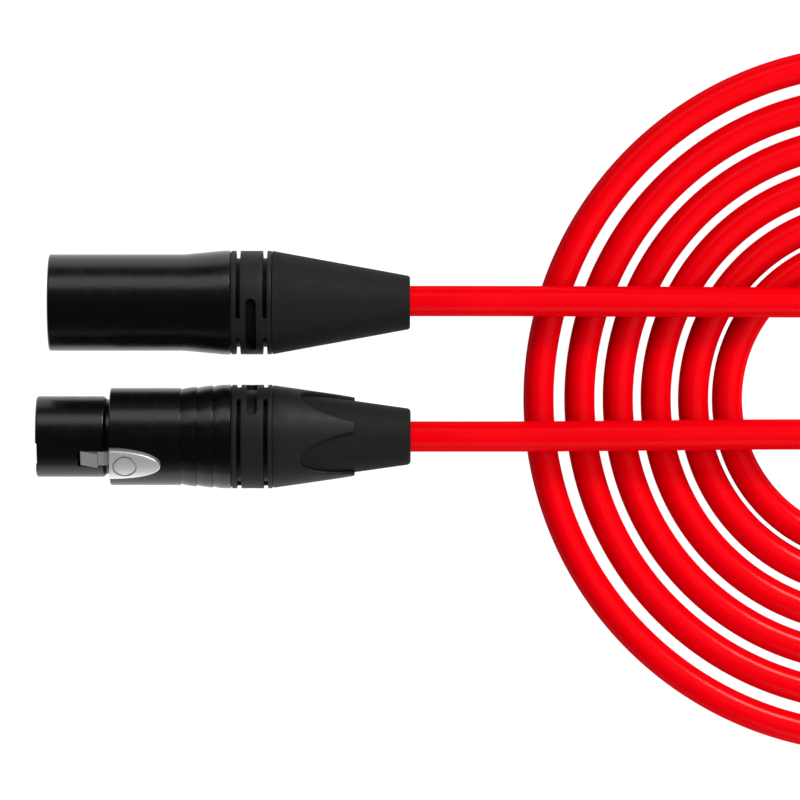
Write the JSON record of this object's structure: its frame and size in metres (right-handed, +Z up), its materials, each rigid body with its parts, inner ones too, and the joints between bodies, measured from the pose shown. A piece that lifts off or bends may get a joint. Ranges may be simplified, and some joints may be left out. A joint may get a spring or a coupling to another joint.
{
  "type": "coiled microphone cable",
  "caption": "Red microphone cable laid in a flat spiral, both ends lying back over it to a straight black plug and a black latching socket with tapered boots.",
  "frame": {"origin": "centre of the object's footprint, on the table the coil and the connectors lie on", "axes": "+Z up from the table; -X is the way both connectors point, away from the coil; the male plug lies on the +Y side of the female socket"},
  "size_m": [0.2326, 0.1404, 0.0208],
  "materials": {
    "red_jacket": "smooth soft PVC with a soft gloss",
    "black_coated_zinc": "black satin coating with a fine grain over die-cast zinc",
    "black_moulding": "fine matte moulded plastic",
    "black_soft_boot": "matte soft plastic",
    "black_insert": "smooth moulded plastic",
    "satin_nickel": "satin nickel plating with bright edges",
    "gold_contact": "bright gold plating",
    "spring_steel": "plain bright steel",
    "white_clamp": "moulded plastic",
    "tinned_copper": "twisted copper strands",
    "white_insulation": "smooth insulation",
    "blue_insulation": "smooth insulation"
  },
  "bodies": {
    "cable": {"cable_jacket": "red_jacket", "male_shell": "black_coated_zinc", "male_insert": "black_insert", "male_pin_1": "gold_contact", "male_pin_2": "gold_contact", "male_pin_3": "gold_contact", "male_wire_shield": "tinned_copper", "male_wire_hot": "white_insulation", "male_wire_cold": "blue_insulation", "female_shell": "black_coated_zinc", "female_insert": "black_insert", "female_contact_1": "gold_contact", "female_contact_2": "gold_contact", "female_contact_3": "gold_contact", "female_wire_shield": "tinned_copper", "female_wire_hot": "white_insulation", "female_wire_cold": "blue_insulation", "latch_pin": "spring_steel", "latch_spring": "spring_steel"},
    "latch": {"latch_lever": "satin_nickel"},
    "male_clamp": {"male_chuck": "white_clamp"},
    "male_gland": {"male_screw_ring": "black_moulding", "male_boot": "black_soft_boot"},
    "female_clamp": {"female_chuck": "white_clamp"},
    "female_gland": {"female_screw_ring": "black_moulding", "female_collar": "black_moulding", "female_boot": "black_soft_boot"}
  },
  "joints": [
    {"name": "latch_press", "type": "hinge", "parent": "cable", "child": "latch", "pos_m": [-0.09381, -0.01171, 0.01688], "axis": [0, -0.8339, -0.5519], "range_deg": [0, 4.2], "stiffness_Nm_per_rad": 0.1, "springref_deg": -5.73, "deforming": ["latch_spring"]},
    {"name": "male_clamp_slide", "type": "slide", "parent": "cable", "child": "male_clamp", "axis": [1, 0, 0], "range_m": [0, 0.0057]},
    {"name": "male_ring_turn", "type": "hinge", "parent": "male_clamp", "child": "male_gland", "pos_m": [-0.07801, 0.01908, 0.01025], "axis": [1, 0, 0], "range_deg": [0, 1350]},
    {"name": "female_clamp_slide", "type": "slide", "parent": "cable", "child": "female_clamp", "axis": [1, 0, 0], "range_m": [0, 0.0057]},
    {"name": "female_ring_turn", "type": "hinge", "parent": "female_clamp", "child": "female_gland", "pos_m": [-0.07786, -0.00732, 0.01025], "axis": [1, 0, 0], "range_deg": [0, 1350]}
  ],
  "couplings": [
    {"joint": "male_clamp_slide", "follows": "male_ring_turn", "m_per_rad": 0.00023873},
    {"joint": "female_clamp_slide", "follows": "female_ring_turn", "m_per_rad": 0.00023873}
  ]
}
